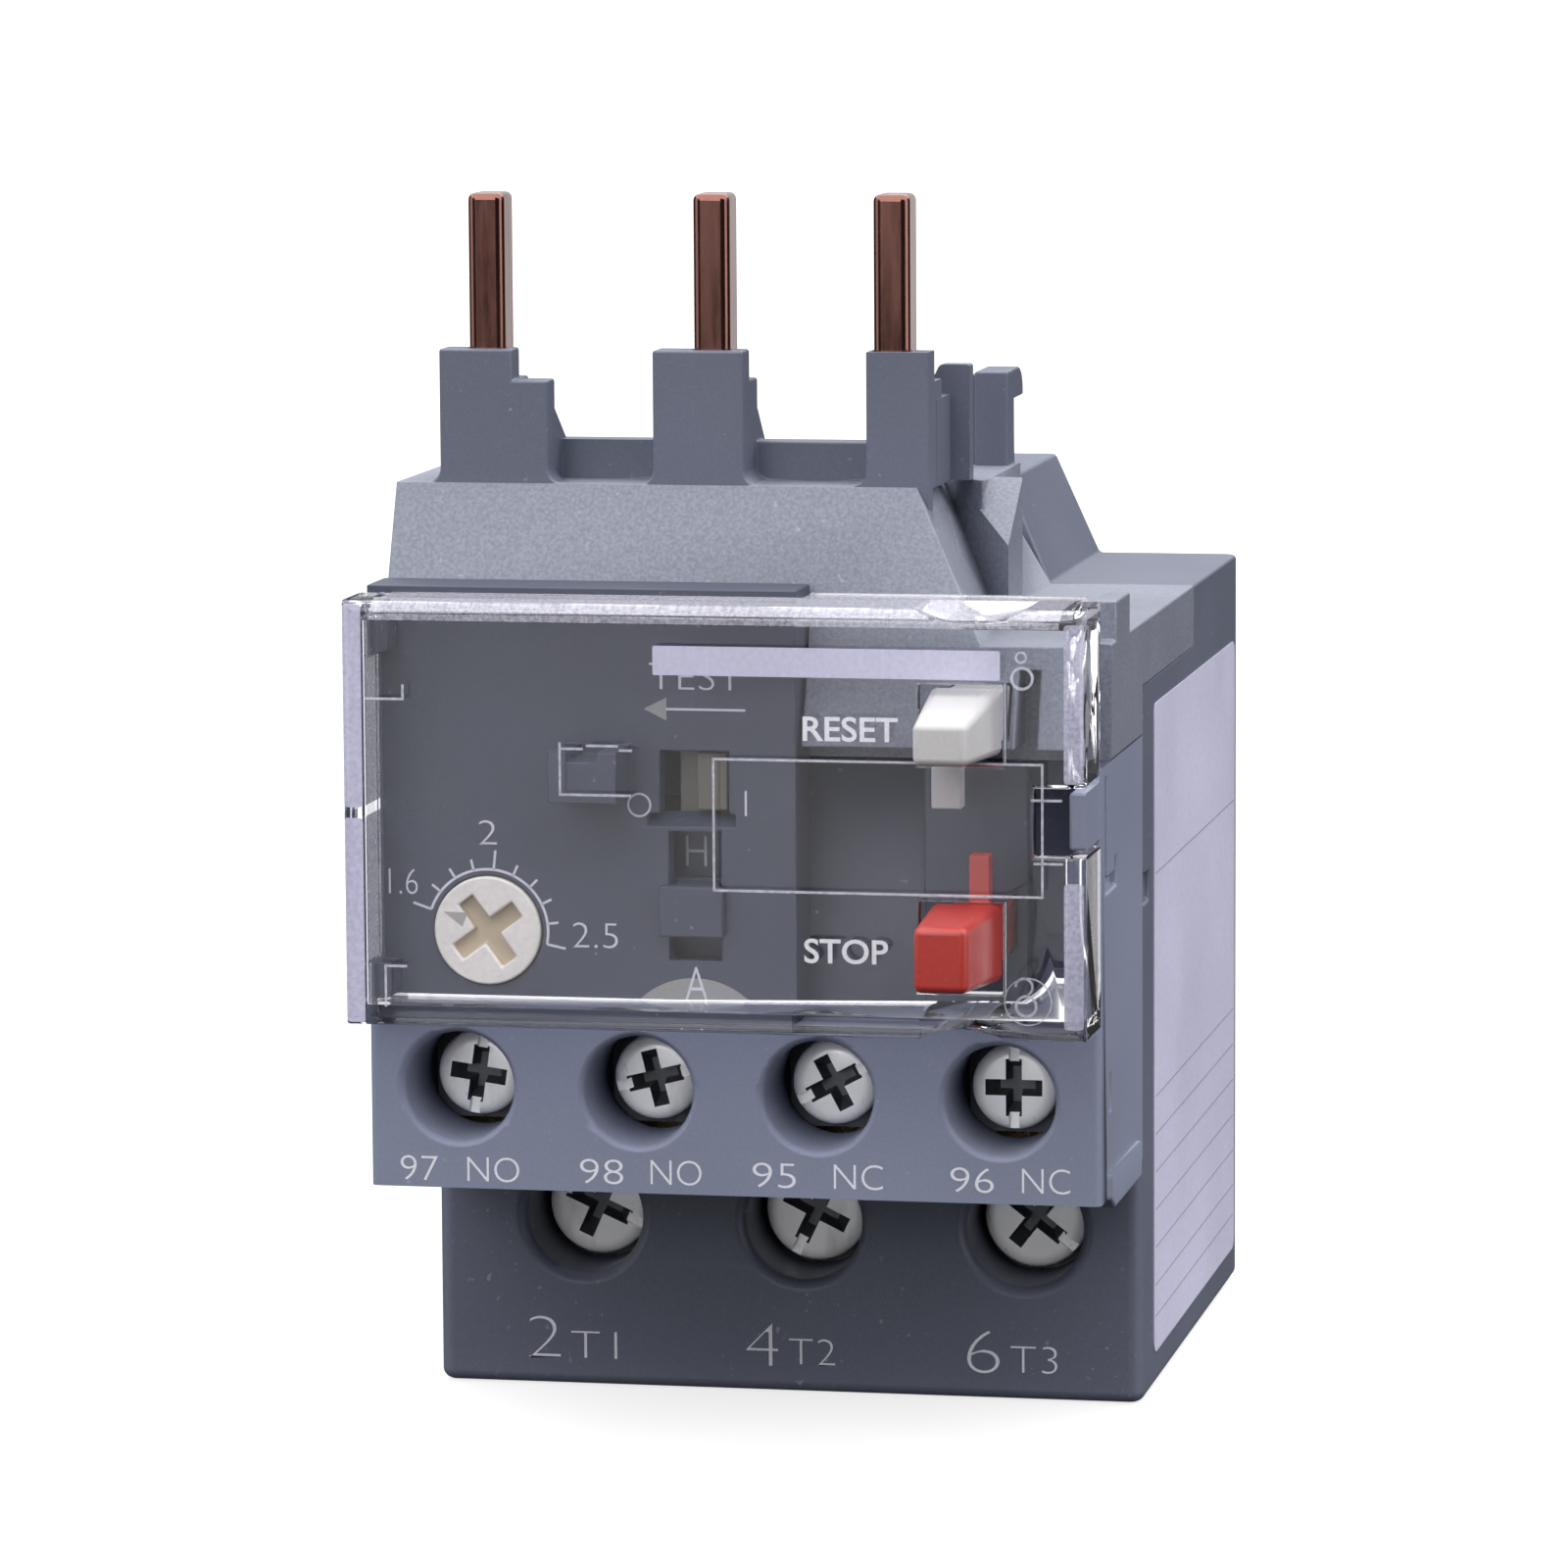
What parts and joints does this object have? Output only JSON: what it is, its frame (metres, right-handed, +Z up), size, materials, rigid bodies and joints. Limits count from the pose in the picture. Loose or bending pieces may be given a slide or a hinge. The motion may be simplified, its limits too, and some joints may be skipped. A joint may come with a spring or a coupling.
{
  "type": "thermal overload relay",
  "caption": "Thermal overload relay with plug-in pins, screw terminals, current dial, reset and stop buttons and a clear hinged cover over its control panel.",
  "frame": {"origin": "centre of the base's flat underside", "axes": "+X to the right seen from the front, -Y out of the front panel, +Z up along the plug pins"},
  "size_m": [0.0453, 0.0706, 0.0756],
  "materials": {
    "housing": "fine grained moulding",
    "panel": "smooth satin moulding",
    "clear_cover": "clear",
    "copper": "drawn copper",
    "bimetal": "rolled strip",
    "winding": "woven sleeve with ribbon",
    "plated_steel": "nickel plated",
    "contact_brass": "rolled strip",
    "spring_steel": "drawn wire",
    "dial_cream": "satin",
    "button_grey": "satin",
    "button_red": "satin",
    "mechanism": "smooth"
  },
  "bodies": {
    "relay_body": {"base_housing": "housing", "rear_cover": "housing", "upper_housing": "housing", "front_housing": "housing", "face_plate": "panel", "plug_pin_left": "copper", "bimetal_left": "bimetal", "heater_winding_left": "winding", "load_terminal_left": "plated_steel", "plug_pin_middle": "copper", "bimetal_middle": "bimetal", "heater_winding_middle": "winding", "load_terminal_middle": "plated_steel", "plug_pin_right": "copper", "bimetal_right": "bimetal", "heater_winding_right": "winding", "load_terminal_right": "plated_steel", "load_screws": "plated_steel", "load_washers": "plated_steel", "aux_screws": "plated_steel", "aux_washers": "plated_steel", "terminal_97": "contact_brass", "terminal_98": "contact_brass", "terminal_95": "contact_brass", "terminal_96": "contact_brass", "rocker_pin": "plated_steel", "lever_pin": "plated_steel", "reset_spring": "spring_steel", "stop_spring": "spring_steel"},
    "sealing_cover": {"sealing_cover": "clear_cover"},
    "adjusting_dial": {"adjusting_dial": "dial_cream"},
    "reset_button": {"reset_button": "button_grey"},
    "stop_button": {"stop_button": "button_red"},
    "test_slider": {"test_slider": "mechanism"},
    "mode_selector": {"mode_selector": "panel"},
    "trip_rocker": {"trip_rocker": "mechanism"},
    "closing_blade": {"closing_blade": "contact_brass"},
    "opening_blade": {"opening_blade": "contact_brass"},
    "main_trip_bar": {"main_trip_bar": "mechanism"},
    "differential_trip_bar": {"differential_trip_bar": "mechanism"},
    "compensating_lever": {"compensating_lever": "bimetal"}
  },
  "joints": [
    {"name": "cover_hinge", "type": "hinge", "parent": "relay_body", "child": "sealing_cover", "pos_m": [-0.0214, -0.0396, 0.0392], "axis": [0, 0, -1], "range_deg": [0, 110]},
    {"name": "dial_turn", "type": "hinge", "parent": "relay_body", "child": "adjusting_dial", "pos_m": [-0.0149, -0.0381, 0.03155], "axis": [0, 1, 0], "range_deg": [0, 167]},
    {"name": "reset_push", "type": "slide", "parent": "relay_body", "child": "reset_button", "axis": [0, 1, 0], "range_m": [0, 0.002], "stiffness_N_per_m": 200, "springref_m": -0.001, "deforming": ["reset_spring"]},
    {"name": "stop_push", "type": "slide", "parent": "relay_body", "child": "stop_button", "axis": [0, 1, 0], "range_m": [0, 0.002], "stiffness_N_per_m": 200, "springref_m": -0.001, "deforming": ["stop_spring"]},
    {"name": "test_slide", "type": "slide", "parent": "relay_body", "child": "test_slider", "axis": [-1, 0, 0], "range_m": [0, 0.002], "stiffness_N_per_m": 100, "springref_m": -0.0005},
    {"name": "mode_slide", "type": "slide", "parent": "relay_body", "child": "mode_selector", "axis": [0, 0, 1], "range_m": [-0.0014, 0.0028]},
    {"name": "rocker_turn", "type": "hinge", "parent": "relay_body", "child": "trip_rocker", "pos_m": [0, -0.0309, 0.0285], "axis": [-1, 0, 0], "range_deg": [0, 6.5]},
    {"name": "closing_blade_flex", "type": "hinge", "parent": "relay_body", "child": "closing_blade", "pos_m": [-0.0086, -0.02805, 0.0266], "axis": [-1, 0, 0], "range_deg": [0, 5.7]},
    {"name": "opening_blade_flex", "type": "hinge", "parent": "relay_body", "child": "opening_blade", "pos_m": [0.0074, -0.02805, 0.0266], "axis": [-1, 0, 0], "range_deg": [0, 5.7]},
    {"name": "trip_bar_slide", "type": "slide", "parent": "relay_body", "child": "main_trip_bar", "axis": [-1, 0, 0], "range_m": [0, 0.0012], "stiffness_N_per_m": 50},
    {"name": "differential_slide", "type": "slide", "parent": "relay_body", "child": "differential_trip_bar", "axis": [-1, 0, 0], "range_m": [0, 0.0012]},
    {"name": "lever_turn", "type": "hinge", "parent": "relay_body", "child": "compensating_lever", "pos_m": [-0.01655, -0.014, 0.0292], "axis": [0, 1, 0], "range_deg": [0, 9.3]}
  ],
  "couplings": [
    {"joint": "rocker_turn", "follows": "test_slide", "rad_per_m": 55.85},
    {"joint": "closing_blade_flex", "follows": "test_slide", "rad_per_m": 48.86},
    {"joint": "opening_blade_flex", "follows": "test_slide", "rad_per_m": 48.86},
    {"joint": "differential_slide", "follows": "trip_bar_slide", "ratio": 1},
    {"joint": "lever_turn", "follows": "trip_bar_slide", "rad_per_m": 133.8}
  ]
}
